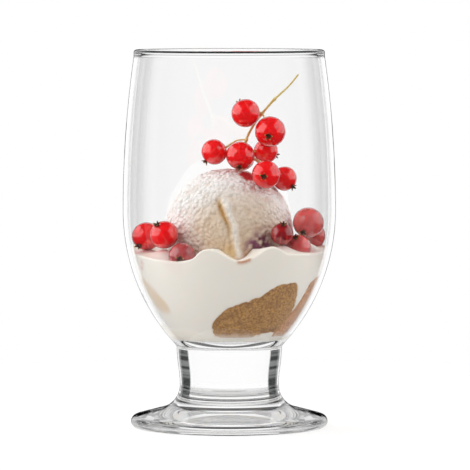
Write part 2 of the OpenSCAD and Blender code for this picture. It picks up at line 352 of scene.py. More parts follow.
# Painted shadow: the glow that diffuse rays see is left out near the glass
spread = add(tree, "MapRange", {
    "Value": far,
    "From Min": GLOW_FROM[0],
    "From Max": GLOW_FROM[1],
    "To Max": GLOW,
})
level = add(tree, "MixRGB", {"Fac": path["Is Diffuse Ray"], "Color1": flat, "Color2": spread})
level = add(tree, "MixRGB", {"Fac": path["Is Camera Ray"], "Color1": level, "Color2": (GLOW, GLOW, GLOW, 1)})
lit = add(tree, "BsdfDiffuse", {"Color": "#b0b0b0"})
both = add(tree, "AddShader", {0: lit, 1: add(tree, "Emission", {"Strength": level})})
top = add(tree, "MixShader", {"Fac": gone, 1: both, 2: add(tree, "BsdfTransparent")})
add(tree, "OutputMaterial", {"Surface": top})
print("finish:", white_top.name)

# %% Table
TABLE_R = 3000
TABLE_T = 2
UNDER = 0.05

turn = np.linspace(0, 2 * np.pi, 96, endpoint=False)
disc = np.stack([np.cos(turn), np.sin(turn), np.zeros_like(turn)], 1) * TABLE_R
table_rings = np.stack([disc - (0, 0, TABLE_T), disc - (0, 0, UNDER)])
table = make_piece("table", [shell(table_rings, (0, 0, -TABLE_T), (0, 0, -UNDER))], [white_top])

# %% [markdown]
# ## The glass
# Clear soda-lime glass with an index of about 1.5. The bowl is blown and its lip melted round, and the
# stem and foot are pressed in a mould, which leaves very slight waves. The three are fused on the real
# one. Here each is turned from its own outline, and the two faces of each weld are wholly transparent, so
# light sees one piece of glass.

# %% Clear glass


def clear_glass(tree, tint):
    """Smooth clear glass with faint waves about 14 mm long."""
    spot = add(tree, "TexCoord").outputs["Object"]
    waves = add(tree, "TexNoise", {"Vector": spot, "Scale": 1 / (14 * MM), "Detail": 1.0})
    skin = add(tree, "Bump", {"Height": waves, "Strength": 0.25, "Distance": 0.15 * MM})
    return add(tree, "BsdfPrincipled", {
        "Base Color": tint,
        "Roughness": 0.0,
        "IOR": 1.48,
        "Transmission Weight": 1.0,
        "Normal": skin,
    })


def edge_shade(tree, stops):
    """Grey level by how flat the sight line meets the surface: 0 is square to it and 1 along it."""
    facing = add(tree, "LayerWeight", {"Blend": 0.5}).outputs["Facing"]
    return add(tree, "ValToRGB", {"Fac": facing}, stops)


def weld_face():
    """A face inside fused glass, which light doesn't see."""
    made, tree = new_material("fused_glass_weld")
    add(tree, "OutputMaterial", {"Surface": add(tree, "BsdfTransparent")})
    return made


weld = weld_face()
print("finish:", weld.name)

# %% Pressed glass of the stem and foot
# Share of the painted dark band, a painted reflection of the dark room, by how flat the sight line meets the
# glass, and the heights over which it sets in
PAINTED_BAND = [(0.0, 0.0), (0.37, 0.0), (0.4, 1.0), (0.72, 1.0), (0.77, 0.0)]
PAINTED_BAND_Z = (9, 12)


def pressed_glass():
    """The solid glass of the stem and foot. A round bar of glass bends light from its flanks to the dark
    sides of a room; the two dark bands that this draws down the stem are a painted reflection here, broken
    every few millimetres by mould waves."""
    made, tree = new_material("pressed_soda_lime_glass")
    spot = add(tree, "TexCoord").outputs["Object"]
    tall = add(tree, "SeparateXYZ", {"Vector": spot}).outputs["Z"]
    waves = add(tree, "TexNoise", {"W": tall, "Scale": 1 / (3 * MM)}, noise_dimensions="1D")
    broken = add(tree, "MapRange", {"Value": waves, "From Min": 0.45, "From Max": 0.6})
    # Painted reflection: the dark bands, broken by the mould waves
    dark = add(tree, "MixRGB", {"Fac": broken, "Color1": "#0c0d0d", "Color2": "#4a4c4c"})
    above = add(tree, "MapRange", {"Value": tall, "From Min": PAINTED_BAND_Z[0] * MM, "From Max": PAINTED_BAND_Z[1] * MM})
    share = add(tree, "Math", {0: edge_shade(tree, PAINTED_BAND), 1: above}, operation="MULTIPLY")
    tint = add(tree, "MixRGB", {"Fac": share, "Color1": "#ffffff", "Color2": dark})
    add(tree, "OutputMaterial", {"Surface": clear_glass(tree, tint)})
    return made


pressed = pressed_glass()
print("finish:", pressed.name)

# %% Blown glass of the bowl
# Painted shade: grey of the wall's outer face by how flat the sight line meets it
PAINTED_WALL_SHADE = [(0.0, 1.0), (0.3, 1.0), (0.4, 0.98), (0.55, 0.93), (0.68, 0.89), (0.72, 0.97), (1.0, 0.97)]


def blown_glass():
    """The thin wall of the bowl. Its outer face is painted greyer where the sight line grazes it, a painted
    shade, and painted dark along the lip, a painted shade for light that the lip leads away inside the
    glass.
    A gleam that comes off the food crosses the wall straight, so wet skins show the lamps through it."""
    made, tree = new_material("blown_soda_lime_glass")
    inside = add(tree, "NewGeometry").outputs["Backfacing"]
    outside = add(tree, "Math", {0: 1.0, 1: inside}, operation="SUBTRACT")
    edge = add(tree, "Attribute", attribute_name="edge").outputs["Fac"]
    # Painted shade: the lip's dark lines, on the outer face
    painted_lip_dark = add(tree, "Math", {0: edge, 1: outside}, operation="MULTIPLY")
    tint = add(tree, "MixRGB", {"Fac": outside, "Color1": "#ffffff", "Color2": edge_shade(tree, PAINTED_WALL_SHADE)})
    tint = add(tree, "MixRGB", {"Fac": painted_lip_dark, "Color1": tint, "Color2": "#020303"})
    depth = add(tree, "LightPath").outputs["Transparent Depth"]
    crossing = add(tree, "Math", {0: depth, 1: 0.5}, operation="GREATER_THAN")
    open_way = add(tree, "Math", {0: outside, 1: crossing}, operation="MAXIMUM")
    share = add(tree, "Math", {0: mirrored_ray(tree), 1: open_way}, operation="MULTIPLY")
    clear = add(tree, "BsdfTransparent")
    wall = add(tree, "MixShader", {"Fac": share, 1: clear_glass(tree, tint), 2: clear})
    add(tree, "OutputMaterial", {"Surface": wall})
    return made


blown = blown_glass()
print("finish:", blown.name)

# %% Outline helpers
AROUND = 256


def smooth(low, high, x):
    """0 up to low, 1 from high on, and the smooth step t * t * (3 - 2 t) between them. Where low is the
    larger one, it falls instead of rising."""
    t = np.clip((x - low) / (high - low), 0, 1)
    return t * t * (3 - 2 * t)


def bell(x, middle, width):
    """exp(-((x - middle) / width)^2)."""
    return np.exp(-(((x - middle) / width) ** 2))


def arc(centre, radius, start, stop, count):
    """Points of a circle: centre + radius (cos t, sin t), with t from start to stop in degrees."""
    t = np.radians(np.linspace(start, stop, count))
    return np.asarray(centre) + radius * np.stack([np.cos(t), np.sin(t)], 1)


def turned(outline, around=AROUND):
    """The outline's (radius, height) points turned about Z: x = r sin a, y = -r cos a, z = height."""
    a = np.linspace(0, 2 * np.pi, around, endpoint=False)
    r, z = outline[:, :1], outline[:, 1:]
    return np.stack([r * np.sin(a), -r * np.cos(a), z + 0 * a], -1)


def lower_meeting(centre_a, radius_a, centre_b, radius_b):
    """The lower of the two points where two circles meet: along the line of their centres by the cosine
    rule, then square to it."""
    line = centre_b - centre_a
    gap = np.hypot(*line)
    along = (radius_a**2 - radius_b**2 + gap**2) / (2 * gap)
    across = math.sqrt(radius_a**2 - along**2)
    return centre_a + (along * line + across * np.array([line[1], -line[0]])) / gap


print("a quarter circle ends at", arc((0, 0), 1, 0, 90, 9)[-1].round(3))

# %% Outline of the bowl
WALL = 1.6
RIM_R = 33.1
BELLY_Z = 75.8
NECK_Z = 28.5
NECK_FILLET = 2.0
# The inside floor is a round dish: its thickness at the weld, its radius and the fillet up to the wall
FLOOR_T = 0.6
DISH_R = 50.0
FLOOR_FILLET = 6.0
# A slight bead along the lip: how far it stands out, how high it reaches, and the share of the upper wall's
# arc from which the rings lie close enough to draw it
BEAD = 0.2
BEAD_H = 1.0
BEAD_FROM = 0.93
LIP_RINGS = 24

# The outer face is two arcs that meet at the belly, the inner face lies one wall behind them, and the lip
# is half a circle between them
lip_r = WALL / 2
lip_z = height - lip_r
upper_r = ((lip_z - BELLY_Z) ** 2 + (belly_r - RIM_R) ** 2) / (2 * (belly_r - RIM_R)) + lip_r
upper_c = np.array([belly_r - upper_r, BELLY_Z])
rim_turn = math.degrees(math.asin((lip_z - BELLY_Z) / (upper_r - lip_r)))
bead_turn = BEAD_FROM * rim_turn
lower_r = ((BELLY_Z - NECK_Z) ** 2 + (belly_r - neck_r) ** 2) / (2 * (belly_r - neck_r))
lower_c = np.array([belly_r - lower_r, BELLY_Z])
fillet_x = neck_r + NECK_FILLET
flank = math.degrees(math.atan2(weld_z - BELLY_Z, fillet_x - lower_c[0]))
floor_z = weld_z + FLOOR_T
dish_c = np.array([0, floor_z + DISH_R])
floor_x, floor_y = lower_meeting(lower_c, lower_r - WALL - FLOOR_FILLET, dish_c, DISH_R - FLOOR_FILLET)
floor_turn = math.degrees(math.atan2(floor_y - BELLY_Z, floor_x - lower_c[0]))
dish_turn = math.degrees(math.atan2(floor_y - dish_c[1], floor_x))
dish_z = dish_c[1] + DISH_R * math.sin(math.radians(dish_turn))

bowl_outline = np.vstack([
    arc((fillet_x, weld_z), NECK_FILLET, 180, 180 + flank, 10),
    arc(lower_c, lower_r, flank, 0, 60)[1:],
    arc(upper_c, upper_r, 0, bead_turn, 36)[1:],
    arc(upper_c, upper_r, bead_turn, rim_turn, 16)[1:],
    arc((RIM_R - lip_r, lip_z), lip_r, rim_turn, rim_turn + 180, LIP_RINGS)[1:],
    arc(upper_c, upper_r - WALL, rim_turn, bead_turn, 16)[1:],
    arc(upper_c, upper_r - WALL, bead_turn, 0, 36)[1:],
    arc(lower_c, lower_r - WALL, 0, floor_turn, 60)[1:],
    arc((floor_x, floor_y), FLOOR_FILLET, floor_turn, dish_turn, 20)[1:],
    arc(dish_c, DISH_R, dish_turn, -90, 32)[1:-1],
])
bead = BEAD * bell(bowl_outline[:, 1], lip_z, BEAD_H)
middle_r = upper_c[0] + np.sqrt((upper_r - lip_r) ** 2 - (bowl_outline[:, 1] - BELLY_Z) ** 2)
bowl_outline[:, 0] += bead * (bowl_outline[:, 0] - middle_r) / lip_r
print(f"floor inside from {floor_z:.1f} to {dish_z:.1f} mm, welds at {foot_h:.1f} and {weld_z:.1f} mm")

# %% Painted dark lines along the lip
# Painted shade on the lip: millimetres below the top of the lip over which the broad outer line sets in
# and ends, and where the thin line under it and the thin line inside lie
LINE_TOP = (0.02, 0.18)
LINE_END = (0.9, 0.7)
UNDER_LINE = 1.42
INNER_LINE = 0.1
THIN_LINE = 0.14
THIN_SHADE = 0.8

below = height - bowl_outline[:, 1]
outer_lip_shade = smooth(*LINE_TOP, below) * smooth(*LINE_END, below)
outer_lip_shade += THIN_SHADE * bell(below, UNDER_LINE, THIN_LINE)
inner_lip_shade = THIN_SHADE * bell(below, INNER_LINE, THIN_LINE)
painted_lip_shade = np.where(bowl_outline[:, 0] > middle_r, outer_lip_shade, inner_lip_shade)
print("rings with a dark line:", int((painted_lip_shade > 0.1).sum()), "of", len(painted_lip_shade))

# %% Outlines of the stem and foot
WAIST_R = 17.3
EDGE_R = 2.1
FOOT_SLOPE = 15
COVE_R = 8.5
HOLLOW_R = 27.0
HOLLOW_H = 1.2

rise = np.linspace(0, 1, 40)
stem_outline = np.stack([
    WAIST_R + (neck_r - WAIST_R) * smooth(0, 1, rise),
    foot_h + (weld_z - foot_h) * rise,
], 1)
hollow_ball = (HOLLOW_R**2 + HOLLOW_H**2) / (2 * HOLLOW_H)
hollow_turn = math.degrees(math.asin(HOLLOW_R / hollow_ball))
foot_outline = np.vstack([
    arc((0, HOLLOW_H - hollow_ball), hollow_ball, 90, 90 - hollow_turn, 64)[1:],
    np.linspace((HOLLOW_R, 0), (foot_r - EDGE_R, 0), 8)[1:],
    arc((foot_r - EDGE_R, EDGE_R), EDGE_R, -90, 90 - FOOT_SLOPE, 24)[1:],
    arc((WAIST_R + COVE_R, foot_h), COVE_R, 270 - FOOT_SLOPE, 180, 24),
])
print(f"stem {2 * WAIST_R:.1f} mm at its waist and {2 * neck_r:.1f} mm at the bowl")

# %% Turn the three parts


def crease(piece, rings, around=AROUND):
    """Marks the edges along these rings as sharp, so that shading doesn't run over them."""
    edges = np.empty(2 * len(piece.data.edges), np.int32)
    piece.data.edges.foreach_get("vertices", edges)
    ring = edges.reshape(-1, 2) // around
    sharp = (ring[:, 0] == ring[:, 1]) & np.isin(ring[:, 0], rings)
    piece.data.attributes.new("sharp_edge", "BOOLEAN", "EDGE").data.foreach_set("value", sharp)


# The edge attribute carries the painted dark lines of the lip
bowl = make_piece("glass_bowl", [
    shell(turned(bowl_outline), (0, 0, weld_z), (0, 0, floor_z), (0, 1, 0)),
], [blown, weld], {"edge": np.append(np.repeat(painted_lip_shade, AROUND), (0, 0))})
crease(bowl, [0])
stem = make_piece("glass_stem", [
    shell(turned(stem_outline), (0, 0, foot_h), (0, 0, weld_z), (0, 1, 1)),
], [pressed, weld])
crease(stem, [0, len(stem_outline) - 1])
foot = make_piece("glass_foot", [
    shell(turned(foot_outline), (0, 0, HOLLOW_H), (0, 0, foot_h), (0, 0, 1)),
], [pressed, weld])
crease(foot, [len(foot_outline) - 1])
for piece, node in ((bowl, "bowl"), (stem, "stem"), (foot, "foot")):
    piece.visible_shadow = node == "foot"
    piece.visible_diffuse = False
    stand_for(piece, node, "glass")

# %% [markdown]
# ## Where things lie on the wall
# Cream and sponge press against the inside of the bowl, so their places are given on that wall: an
# azimuth, 0 at the front and 90 at the right, and a height. A point that was read off the picture is
# sent along its sight line until it meets the wall. The food wets the bend round the dish of the floor,
# and a thin film of air stays in the dish and on the wall above, which keeps the clear edge at both sides.

# %% Wall places
# Thickness of the air film, and how far food that wets the glass reaches into it
WALL_GAP = 0.1
WET = 0.03
# Heights over which the film ends, counted from the edge of the dish, and starts again on the wall
DRY_Z = (0.0, 0.3)
WET_Z = (35, 39)
# Where a sight line's steps start, above the floor, and how many there are
FIRST_Z = 20
SIGHT_STEPS = 8
turn_z = floor_y + FLOOR_FILLET * math.sin(math.radians(floor_turn))


def clearance(z):
    """Gap behind the inside wall: a little below zero round the bend, where the food wets the glass, and
    WALL_GAP in the dish and on the wall above."""
    wet = smooth(dish_z + DRY_Z[0], dish_z + DRY_Z[1], z) * smooth(WET_Z[1], WET_Z[0], z)
    return WALL_GAP - (WALL_GAP + WET) * wet


def wall_r(z, inset):
    """Radius of the surface that lies inset behind the bowl's outer face: the upper wall's arc, the lower
    wall's arc, and the bend into the floor below them."""
    low = z < BELLY_Z
    centre, radius = np.where(low, lower_c[0], upper_c[0]), np.where(low, lower_r, upper_r)
    wall = centre + np.sqrt((radius - inset) ** 2 - (z - BELLY_Z) ** 2)
    bend = floor_x + np.sqrt(np.maximum((FLOOR_FILLET + WALL - inset) ** 2 - (floor_y - z) ** 2, 0))
    return np.where(z < turn_z, np.minimum(wall, bend), wall)


def on_wall(azimuth, z, inset):
    """Point at an azimuth in degrees and a height, inset behind the outer face."""
    r, a = wall_r(z, inset), np.radians(azimuth)
    return np.stack([r * np.sin(a), -r * np.cos(a), z], -1)


def sighted(pixels):
    """Azimuth and height of picture points on the front of the inside wall. The sight line runs from the
    camera, and its meeting with the wall is found by stepping to the wall's radius at the height reached."""
    x, y = np.asarray(pixels, float).T
    right, up = (x - FRAME_PX / 2) / FOCAL_PX, (FRAME_PX / 2 - y) / FOCAL_PX
    way = np.stack([
        right,
        math.cos(PITCH) + up * math.sin(PITCH),
        up * math.cos(PITCH) - math.sin(PITCH),
    ], -1)
    z = np.full_like(x, floor_z + FIRST_Z)
    for step in range(SIGHT_STEPS):
        r = wall_r(z, WALL)
        a = way[:, 0] ** 2 + way[:, 1] ** 2
        b = CAMERA_MM[:2] @ way[:, :2].T
        c = CAMERA_MM[:2] @ CAMERA_MM[:2] - r**2
        reach = (-b - np.sqrt(np.maximum(b**2 - a * c, 0))) / a
        point = CAMERA_MM + reach[:, None] * way
        z = np.maximum(point[:, 2], dish_z + DRY_Z[1])
    return np.stack([np.degrees(np.arctan2(point[:, 0], -point[:, 1])), z], -1)


print("inside radius at the belly:", wall_r(np.array(BELLY_Z), WALL).round(2))

# %% Outlines of the slices
# Outlines as points of the picture, and for the slice at the right as azimuths and heights
FRONT_SLICE_PX = [
    (213, 323), (220, 314), (230, 307), (245, 301), (261, 295), (277, 285.5), (289, 282.5), (296, 284),
    (295, 296), (291, 309), (283, 322), (274, 330), (262, 332), (245, 337), (229, 337), (215, 334),
]
LEFT_SLICE_PX = [
    (142, 274), (150, 281), (160, 292), (171, 306), (172, 313), (163, 311), (152, 297), (144, 284),
]
RIGHT_SLICE = [
    (44, 33.2), (50, 39), (57, 45.5), (63.5, 52.5), (80, 54), (108, 51), (112, 42), (100, 34), (70, 33),
]
front_slice, left_slice = sighted(FRONT_SLICE_PX), sighted(LEFT_SLICE_PX)
right_slice = np.array(RIGHT_SLICE)
print("front slice from", front_slice.min(0).round(1), "to", front_slice.max(0).round(1))

# %% [markdown]
# ## Lumps and curves
# Food is never quite smooth. The lumps come from value noise: random numbers on a lattice, blended
# between the corners of each cell. A fixed seed makes them the same on every run. Drawn outlines
# are closed or open curves through a few points.

# %% Noise and curves
# Large odd numbers that scramble a lattice corner's place and its seed into one value
PLACE_KEYS = np.array([73856093, 19349663, 83492791])
SEED_KEY = 2654435761
MIX_KEY = 1274126177


def lumps(points, size, seed):
    """Smooth noise from -1 to 1. Each lattice corner, size millimetres apart, has a hashed value, and the
    eight corners round a point are blended by the smooth step t * t * (3 - 2 t)."""
    place = points / size
    cell = np.floor(place).astype(np.int64)
    t = place - cell
    t = t * t * (3 - 2 * t)
    total = np.zeros(points.shape[:-1])
    for corner in itertools.product((0, 1), repeat=3):
        key = (cell + corner) @ PLACE_KEYS + seed * SEED_KEY
        key = (key ^ (key >> 13)) * MIX_KEY & 0xFFFFFFFF
        key = (key ^ (key >> 16)) & 0xFFFF
        weight = np.prod(np.where(corner, t, 1 - t), axis=-1)
        total += weight * (key / 32767.5 - 1)
    return total


def curve(knots, count, closed):
    """A smooth curve through the knots: on each span, the cubic that leaves and enters along the chord
    between the neighbouring knots."""
    knots = np.asarray(knots, float)
    spans = len(knots) if closed else len(knots) - 1
    t = np.linspace(0, spans, count, endpoint=not closed)
    i = np.minimum(t.astype(int), spans - 1)
    f = (t - i)[:, None]
    pick = (lambda k: knots[k % len(knots)]) if closed else (lambda k: knots[np.clip(k, 0, spans)])
    a, b, c, d = pick(i - 1), pick(i), pick(i + 1), pick(i + 2)
    return b + f * (c - a) / 2 + f**2 * (a - 2.5 * b + 2 * c - d / 2) + f**3 * (3 * (b - c) + d - a) / 2


print("noise at the origin:", lumps(np.zeros((1, 3)), 1, 1))

# %% [markdown]
# ## The sponge
# Baked crumb is a foam: pores of all sizes between half a millimetre and two, browner where the crust
# was. Each slice is a star-shaped patch of wall, drawn as rings that shrink from its outline to its
# middle, with the face pressed flat against the glass and pores sunk into it.

# %% Sponge finish


def baked_crumb(name, light, dark, crust):
    """Open crumb: pores from the mesh painted dark, a painted shade in their hollows, crumbs 0.75 mm wide,
    toasted patches about 7 mm across, and cream smeared over it near the floor."""
    made, tree = new_material(name)
    spot = add(tree, "TexCoord").outputs["Object"]
    crumbs = add(tree, "TexNoise", {"Vector": spot, "Scale": 1 / (0.75 * MM), "Detail": 3.0})
    toast = add(tree, "TexNoise", {"Vector": spot, "Scale": 1 / (7 * MM), "Detail": 3.0})
    fine = add(tree, "MapRange", {"Value": crumbs, "From Min": 0.35, "From Max": 0.65})
    browned = add(tree, "MapRange", {"Value": toast, "From Min": 0.5, "From Max": 0.72, "To Max": 0.7})
    pores, smears = (
        add(tree, "Attribute", attribute_name=key).outputs["Fac"] for key in ("pore", "smear")
    )
    tint = dark
    # The pores get the crust colour, a painted shade in their hollows
    for share, code in ((fine, light), (browned, crust), (pores, crust), (smears, "#dcc0aa")):
        tint = add(tree, "MixRGB", {"Fac": share, "Color1": tint, "Color2": code})
    bump = add(tree, "Bump", {"Height": crumbs, "Strength": 0.9, "Distance": 0.4 * MM})
    body = add(tree, "BsdfPrincipled", {"Base Color": tint, "Roughness": 0.85, "Normal": bump})
    add(tree, "OutputMaterial", {"Surface": body})
    return made


toasted = baked_crumb("toasted_sponge_crumb", "#c8954e", "#946430", "#80501f")
moist_crumb = baked_crumb("moist_sponge_crumb", "#da9f68", "#b8743c", "#864a20")
print("finishes:", toasted.name, "and", moist_crumb.name)

# %% Slices of sponge
SLICE_T = 6.5
FACE_RINGS = 60
BACK_RINGS = 14
# A slice ends this far above the edge of the dish, and its smear of cream ends over these heights
SLICE_END = 0.1
SMEAR_Z = (3.6, 1.6)
SMEAR = 0.85
# How far the rounded edge of a slice goes past its outline, and how deep it lies behind the face
EDGE = [(1.03, 0.05), (1.05, 0.3), (1.06, 0.8)]
EDGE_DEEP = 0.9
# Lumps that fray the outline, by a share of its reach, and lumps that sink pores: width, seed and strength
FRAY = 0.03
FRAYED = [(2.2, 3, 0.5), (0.9, 4, 0.4)]
PORES = [(0.9, 5, 0.3), (1.8, 6, 0.2)]


def star(outline, count=300):
    """The closed curve through the outline's points and the middle that it is star-shaped about."""
    rim = curve(outline, count, True)
    return rim, (rim.min(0) + rim.max(0)) / 2


def slice_rings(outline, film):
    """Rings of a slice: the outline drawn in to its middle on the pressed face, round at the edge, then the
    same on the inner face, one slice thickness further in. Pores sink the face by lumps of two sizes. Also
    gives how deep in a pore each point is, from 0 to 1."""
    rim, middle = star(outline)
    share, deep = np.array(
        [(s, 0) for s in np.linspace(0.02, 1, FACE_RINGS)] + EDGE
        + [(EDGE[-1][0], d) for d in np.linspace(1.2, SLICE_T - EDGE_DEEP, 5)]
        + [(s, SLICE_T) for s in np.linspace(0.98, 0.05, BACK_RINGS)]
    ).T[..., None]
    place = middle + share[..., None] * (rim - middle)
    flat = on_wall(place[..., 0], place[..., 1], WALL)
    frayed = sum(strength * lumps(flat, width, seed) for width, seed, strength in FRAYED)
    place = place + FRAY * (share * frayed)[..., None] * (rim - middle)
    pores = sum(strength * np.maximum(lumps(flat, width, seed), 0) for width, seed, strength in PORES)
    z = np.maximum(place[..., 1], dish_z + SLICE_END)
    inset = WALL + clearance(z) + film + deep + np.where(deep < EDGE_DEEP, pores, -pores)
    return on_wall(place[..., 0], z, inset)[:, ::-1], np.clip(0.6 * pores, 0, 1)[:, ::-1]


def make_slice(name, node, outline, film, material):
    """A slice that lies film millimetres behind the food's gap, with its pores and smear as attributes."""
    rings, pores = slice_rings(outline, film)
    smear = SMEAR * smooth(*SMEAR_Z, rings[..., 2] - dish_z + 0.5 * lumps(rings, 2, 7))
    # pore carries the painted shade in the pores
    marks = {"pore": np.append(pores.ravel(), (0, 0)), "smear": np.append(smear.ravel(), (0, 0))}
    made = make_piece(name, [shell(rings, rings[0].mean(0), rings[-1].mean(0))], [material], marks)
    stand_for(made, node, "glass")


make_slice("sponge_slice_front", "sponge_front", front_slice, 0.04, toasted)
make_slice("sponge_slice_right", "sponge_right", right_slice, 0.05, moist_crumb)
make_slice("sponge_slice_left", "sponge_left", left_slice, 0.9, moist_crumb)

# %% [markdown]
# ## The currants
# A red currant is a thin clear skin round red juice, with pale veins from pole to pole and a dried
# flower at one end. Some light goes through it, so the shader is part clear and part soft red flesh.
# Each currant's place, size and flower direction are measured on its CAD solid.

# %% Currant finishes
# Share of the painted deep red limb, a painted shade for dark surroundings seen through the skin's edge, and
# strength of the gloss, by how flat the sight line meets the skin
PAINTED_LIMB = [(0.0, 0.0), (0.6, 0.0), (0.85, 0.7), (1.0, 0.9)]
GLOSS = [(0.0, 1.0), (0.62, 1.0), (0.8, 0.3), (1.0, 0.1)]


def currant_skin(name, red, deep, clear, rough):
    """Translucent skin over juice: pale veins, darker blotches 3 mm wide where the seeds lie, a wet gloss,
    and a painted deep red limb where the sight line runs along the skin, a painted shade."""
    made, tree = new_material(name)
    spot = add(tree, "TexCoord").outputs["Object"]
    seeds = add(tree, "TexNoise", {"Vector": spot, "Scale": 1 / (3 * MM), "Detail": 2.0})
    blotch = add(tree, "MapRange", {"Value": seeds, "From Min": 0.4, "From Max": 0.7})
    veins = add(tree, "Attribute", attribute_name="pale").outputs["Fac"]
    tint = red
    # The last layer is painted shade: the deep red limb where the sight line runs along the skin
    for share, code in ((blotch, deep), (veins, "#ff5a52"), (edge_shade(tree, PAINTED_LIMB), "#6a0810")):
        tint = add(tree, "MixRGB", {"Fac": share, "Color1": tint, "Color2": code})
    body = add(tree, "BsdfPrincipled", {
        "Base Color": tint,
        "Roughness": rough,
        "IOR": 1.4,
        "Transmission Weight": clear,
        "Subsurface Weight": 1.0,
        "Subsurface Radius": (1.0, 0.1, 0.06),
        "Subsurface Scale": 3.0 * MM,
        "Coat Weight": edge_shade(tree, GLOSS),
        "Coat IOR": 1.7,
        "Coat Roughness": 0.17,
    })
    add(tree, "OutputMaterial", {"Surface": body})
    return made


def dried_flower():
    """Withered brown sepals, nearly black in the folds and straw yellow at their tips."""
    made, tree = new_material("withered_sepal")
    spot = add(tree, "TexCoord").outputs["Object"]
    fibre = add(tree, "TexNoise", {"Vector": spot, "Scale": 1 / (0.5 * MM), "Detail": 2.0})
    tips = add(tree, "Attribute", attribute_name="pale").outputs["Fac"]
    share = add(tree, "Math", {0: fibre, 1: tips}, operation="MULTIPLY")
    tint = add(tree, "MixRGB", {"Fac": share, "Color1": "#4a2410", "Color2": "#e6b45c"})
    body = add(tree, "BsdfPrincipled", {"Base Color": tint, "Roughness": 0.8})
    add(tree, "OutputMaterial", {"Surface": body})
    return made


ripe = currant_skin("ripe_currant_skin", "#fa0812", "#e2040e", 0.25, 0.15)
milky = currant_skin("creamed_currant_skin", "#da605e", "#bc4a48", 0.2, 0.15)
# Painted shade: a darker copy of the ripe skin for the berry that lies back in the shade of the right group
shaded_ripe = currant_skin("painted_shade_currant_skin", "#a80f1c", "#7c0814", 0.35, 0.1)
dusky = currant_skin("dusky_currant_skin", "#bc4a4c", "#98323a", 0.25, 0.1)
flower = dried_flower()
print("finishes:", ", ".join(made.name for made in (ripe, milky, shaded_ripe, dusky, flower)))

# %% Measures of a CAD currant
# A flower that the picture shows from straight in front
FLOWER_WAYS = {"left_currant_3": (-0.15, -0.98, -0.12)}
# Points this near to the fitted ball belong to it, and points this far outside it to the flower
ON_BALL = 0.1
ON_FLOWER = 0.3


def cad_points(node):
    """All points of a CAD node's mesh, in millimetres."""
    mesh = frame["nodes"][node].data
    flat = np.empty(3 * len(mesh.vertices), np.float32)
    mesh.vertices.foreach_get("co", flat)
    return flat.reshape(-1, 3).astype(float) / MM


def unit(vectors):
    """The vectors at length 1."""
    return vectors / np.linalg.norm(vectors, axis=-1, keepdims=True)


def measured(node):
    """Centre, radius and flower direction of a CAD currant. A ball |p|^2 = 2 p.c + k is fitted to its points
    by least squares, three times, and the later times leave out the flower, which lies outside the ball."""
    points = cad_points(node)
    kept = points
    for step in range(3):
        sums = np.c_[2 * kept, np.ones(len(kept))]
        answer = np.linalg.lstsq(sums, (kept**2).sum(1), rcond=None)[0]
        centre, radius = answer[:3], math.sqrt(answer[3] + answer[:3] @ answer[:3])
        reach = np.linalg.norm(points - centre, axis=1)
        kept = points[np.abs(reach - radius) < ON_BALL]
    way = unit((points[reach > radius + ON_FLOWER] - centre).mean(0))
    return centre, radius, unit(np.array(FLOWER_WAYS.get(node, way), float))


centre, radius, way = measured("sprig_currant_1")
print("first berry at", centre.round(1), "with a radius of", round(radius, 2), "mm")

# %% Ball of a currant
VEINS = 11


def axes_for(way):
    """Two directions square to way."""
    side = unit(np.cross(way, (0.3, 0.5, 0.81) if abs(way[0]) < 0.8 else (0, 0, 1)))
    return side, np.cross(way, side)


def placed(local, centre, way):
    """Local points, whose third axis is way, moved to the centre."""
    side, other = axes_for(way)
    return centre + local[..., :1] * side + local[..., 1:2] * other + local[..., 2:] * way


def currant_ball(radius, count=56, around=96):
    """A ball from its stalk end to its flower end, r (0.985 - 0.012 cos 2t), with a dimple at each pole and
    faint ribs along the veins. Also gives how much of each point is vein."""
    t = np.linspace(0.04, math.pi - 0.04, count)[:, None]
    a = np.linspace(0, 2 * np.pi, around, endpoint=False)
    dimple = 0.07 * np.exp(-((math.pi - t) / 0.2) ** 2) + 0.05 * np.exp(-(t / 0.16) ** 2)
    rib = np.cos(VEINS * a) * np.sin(t)
    r = radius * (0.985 - 0.012 * np.cos(2 * t) - dimple + 0.004 * rib)
    local = np.stack([r * np.sin(t) * np.cos(a), r * np.sin(t) * np.sin(a), -r * np.cos(t) + 0 * a], -1)
    return local, 0.5 * np.clip(rib, 0, 1) ** 6


print("a ball has", currant_ball(1)[0].shape[:2], "points along and around")

# %% Dried flower of a currant
SEPALS = 5
FLOWER_L = 1.1
FLOWER_R = 1.45


def sepal_cup(foot):
    """A withered star: a narrow neck that flares into sepals, radius growing with height and swinging with
    cos(SEPALS a), drawn up outside and down inside so that it is closed. Also gives how near each point is
    to a tip."""
    s = np.concatenate([np.linspace(0, 1, 12), np.linspace(0.96, 0.1, 10)])[:, None]
    a = np.linspace(0, 2 * np.pi, 60, endpoint=False)
    inner = np.concatenate([np.zeros(12), np.full(10, 0.12)])[:, None]
    star = 0.5 + 0.5 * np.cos(SEPALS * a + 0.8 * s) + 0.12 * np.cos(2 * a)
    r = FLOWER_R * (0.45 + 0.55 * s**1.4 * star) - inner
    z = foot + FLOWER_L * (s * (0.5 + 0.5 * star) + 0.4 * inner)
    return np.stack([r * np.cos(a), r * np.sin(a), z], -1), smooth(0.5, 1, s * star)


print("a flower has", sepal_cup(1)[0].shape[:2], "points along and around")

# %% All the currants
# The flower starts at this share of the berry's radius, inside the dimple
FLOWER_FOOT = 0.93


